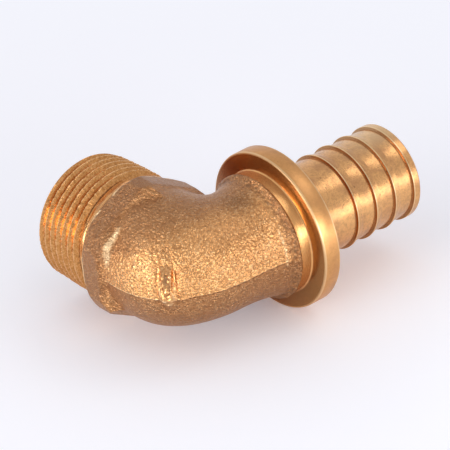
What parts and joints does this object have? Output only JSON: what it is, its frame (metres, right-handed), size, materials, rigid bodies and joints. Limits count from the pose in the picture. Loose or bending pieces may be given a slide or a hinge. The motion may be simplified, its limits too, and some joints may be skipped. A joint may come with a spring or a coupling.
{
  "type": "male threaded pex elbow",
  "caption": "Cast brass pipe elbow with a tapered male pipe thread and hexagonal boss at the inlet, and a stop collar and ribbed nipple for plastic pipe at the outlet.",
  "frame": {"origin": "centre of the male pipe thread at its gauge plane, 22.4 mm along the thread arm from where the axes of the arms cross", "axes": "+Y along the thread's axis and out of its mouth, +X the way the nipple points, +Z square to the plane of the arms, on the upper side as the fitting lies"},
  "size_m": [0.0643, 0.0483, 0.0328],
  "materials": {
    "brass": "cast body matte and sand-grained, machined thread, collar and nipple satin bright"
  },
  "bodies": {
    "root": {"elbow_fitting": "brass"}
  },
  "joints": []
}
